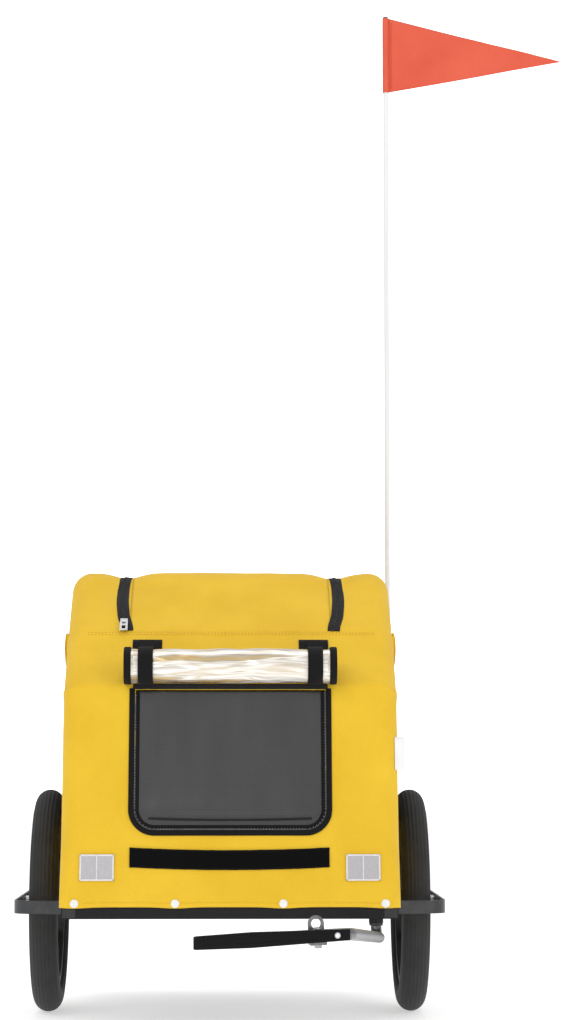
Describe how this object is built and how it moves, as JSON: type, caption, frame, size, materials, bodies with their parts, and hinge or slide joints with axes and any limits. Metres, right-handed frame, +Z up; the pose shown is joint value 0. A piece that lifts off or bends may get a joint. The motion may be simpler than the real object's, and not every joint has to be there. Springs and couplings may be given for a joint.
{
  "type": "bicycle trailer",
  "caption": "Two-wheel bicycle trailer: yellow fabric cabin with mesh door and zipped roof hatch on a square-tube base, swinging side tow arm, wheel guards and a pennant mast.",
  "frame": {"origin": "on the ground under the middle of the overall box", "axes": "+Z up, -Y the way the trailer is towed, +X to the trailer's left"},
  "size_m": [0.826, 1.2738, 1.538],
  "materials": {
    "yellow_fabric": "coated oxford weave, slightly creased",
    "black_trim": "woven webbing, zip tape and binding",
    "black_mesh": "fine mesh behind a clear film",
    "clear_vinyl": "rolled clear vinyl, glossy",
    "reflective": "silver grey prismatic reflector",
    "white_plastic": "moulded, smooth",
    "flag_fabric": "thin orange-red flag cloth",
    "black_frame": "black powder coat",
    "grey_steel": "dark grey coated flat bar",
    "grey_tube": "satin grey tube",
    "bright_hardware": "zinc plated",
    "tyre": "black rubber, ribbed tread",
    "black_plastic": "moulded",
    "floor_board": "dark board",
    "mast_rod": "pultruded glass fibre"
  },
  "bodies": {
    "base": {"side_rail_left": "black_frame", "side_rail_right": "black_frame", "front_rail": "black_frame", "rear_rail": "black_frame", "middle_rail": "black_frame", "tow_arm_bracket": "black_frame", "floor_panel": "floor_board", "front_hoop": "grey_tube", "rear_hoop": "grey_tube", "hoop_brackets": "bright_hardware", "hoop_pivot_bolts": "bright_hardware", "axles": "bright_hardware", "axle_nuts_and_spacers": "bright_hardware", "guard_bolts": "bright_hardware", "cover_front": "yellow_fabric", "cover_roof_left": "yellow_fabric", "cover_roof_right": "yellow_fabric", "cover_roof_rear": "yellow_fabric", "cover_rear": "yellow_fabric", "cover_side_left": "yellow_fabric", "cover_side_right": "yellow_fabric", "side_flap_rolls": "yellow_fabric", "side_window_mesh_left": "black_mesh", "side_window_mesh_right": "black_mesh", "side_window_bindings": "black_trim", "door_zip_tape": "black_trim", "closure_strip": "black_trim", "rain_cover_bindings": "black_trim", "roll_straps": "black_trim", "strap_patches": "black_trim", "roof_zips": "black_trim", "reflectors": "reflective", "blank_tag": "white_plastic", "cover_studs": "white_plastic", "rain_cover_roll": "clear_vinyl", "mast_socket": "black_plastic", "rail_end_plugs": "black_plastic", "wheel_guard_left": "grey_steel", "wheel_guard_right": "grey_steel"},
    "wheel_left": {"tyre_left": "tyre", "wheel_rim_left": "black_plastic", "hub_bushes_left": "black_plastic"},
    "wheel_right": {"tyre_right": "tyre", "wheel_rim_right": "black_plastic", "hub_bushes_right": "black_plastic"},
    "tow_arm": {"tow_arm": "grey_tube", "tow_arm_stops": "black_plastic", "hitch_plate": "bright_hardware", "hitch_bolt": "bright_hardware", "coupling_strap": "black_trim", "strap_rivet": "bright_hardware"},
    "front_door": {"door_mesh": "black_mesh", "door_zip_edge": "black_trim"},
    "hatch": {"roof_hatch": "yellow_fabric"},
    "zip_slider": {"roof_zip_slider": "bright_hardware", "roof_zip_pull": "bright_hardware"},
    "flag_mast": {"mast_lower_tube": "mast_rod", "mast_upper_tube": "mast_rod", "mast_tip_cap": "black_plastic", "flag": "flag_fabric"}
  },
  "joints": [
    {"name": "wheel_left_spin", "type": "hinge", "parent": "base", "child": "wheel_left", "pos_m": [0.151, 0.31428, 0.159], "axis": [1, 0, 0], "continuous": true},
    {"name": "wheel_right_spin", "type": "hinge", "parent": "base", "child": "wheel_right", "pos_m": [-0.371, 0.31428, 0.159], "axis": [1, 0, 0], "continuous": true},
    {"name": "tow_arm_swing", "type": "hinge", "parent": "base", "child": "tow_arm", "pos_m": [0.082, -0.05272, 0.164], "axis": [0, 0, -1], "range_deg": [0, 75]},
    {"name": "front_door_open", "type": "hinge", "parent": "base", "child": "front_door", "pos_m": [-0.11, -0.01668, 0.45659], "axis": [-1, 0, 0], "range_deg": [0, 75]},
    {"name": "roof_hatch_open", "type": "hinge", "parent": "base", "child": "hatch", "pos_m": [-0.11, 0.47398, 0.626], "axis": [-1, 0, 0], "range_deg": [0, 100]},
    {"name": "roof_zip_slide", "type": "slide", "parent": "base", "child": "zip_slider", "axis": [0, 0.8032, 0.5957], "range_m": [0, 0.07]},
    {"name": "flag_mast_lift", "type": "slide", "parent": "base", "child": "flag_mast", "axis": [0, 0, 1], "range_m": [0, 0.04]}
  ]
}
